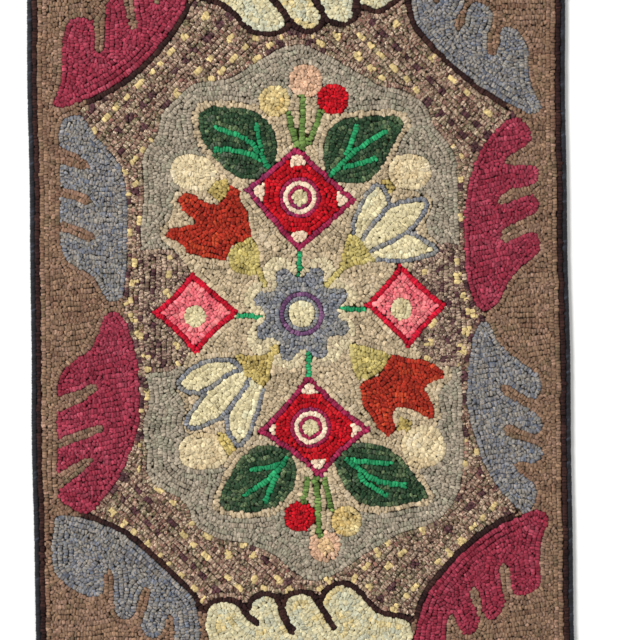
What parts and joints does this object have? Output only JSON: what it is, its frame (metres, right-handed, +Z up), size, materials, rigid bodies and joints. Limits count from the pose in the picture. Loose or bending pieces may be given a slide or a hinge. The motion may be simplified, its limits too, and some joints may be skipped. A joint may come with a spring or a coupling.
{
  "type": "hooked rug",
  "caption": "Rectangular hand-hooked wool scatter rug lying flat: low loop pile in a floral medallion design with a lobed leaf border and a yarn-whipped edge.",
  "frame": {"origin": "middle of the underside, where the reverse lies on the floor", "axes": "+Z up out of the pile, +Y along the rug's length towards the top of its design, +X across its width"},
  "size_m": [0.61, 0.914, 0.008],
  "materials": {
    "hooked_wool": "matte wool loops in many colours, taupe ground",
    "whipping_yarn": "matte charcoal wool yarn"
  },
  "bodies": {
    "root": {"hooked_rug": "hooked_wool", "binding": "whipping_yarn"}
  },
  "joints": []
}
